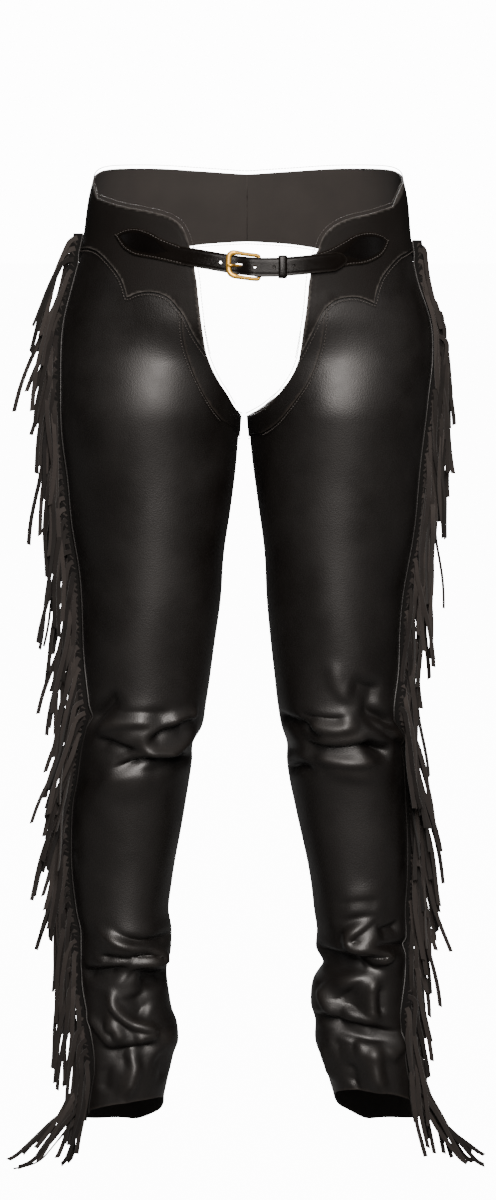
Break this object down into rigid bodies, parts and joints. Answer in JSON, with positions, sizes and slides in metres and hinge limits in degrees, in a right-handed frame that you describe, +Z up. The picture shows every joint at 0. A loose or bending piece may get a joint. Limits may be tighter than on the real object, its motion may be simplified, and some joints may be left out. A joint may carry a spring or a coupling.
{
  "type": "fringed leather chaps",
  "caption": "Full-length leather riding chaps in worn form, with a scalloped yoke, a buckled front belt, open seat and a suede fringe down each outer seam.",
  "frame": {"origin": "middle of the hips at the height of the belt, on the body's centre line", "axes": "+Z up along the legs, -Y to the front, +X to the left side as worn"},
  "size_m": [0.491, 0.2441, 1.0369],
  "materials": {
    "leg_leather": "smooth black leather with a satin sheen",
    "yoke_leather": "matt smooth black-brown leather",
    "belt_leather": "firm black strap leather, satin",
    "fringe_suede": "matt dark grey-brown suede",
    "buckle_brass": "polished"
  },
  "bodies": {
    "root": {"leg_right": "leg_leather", "leg_left": "leg_leather", "thigh_edging_right": "leg_leather", "thigh_edging_left": "leg_leather", "yoke_right": "yoke_leather", "yoke_left": "yoke_leather", "belt_billet": "belt_leather", "belt_buckle_strap": "belt_leather", "belt_keeper": "belt_leather", "buckle_frame": "buckle_brass", "buckle_prong": "buckle_brass", "fringe_right": "fringe_suede", "fringe_left": "fringe_suede"}
  },
  "joints": []
}
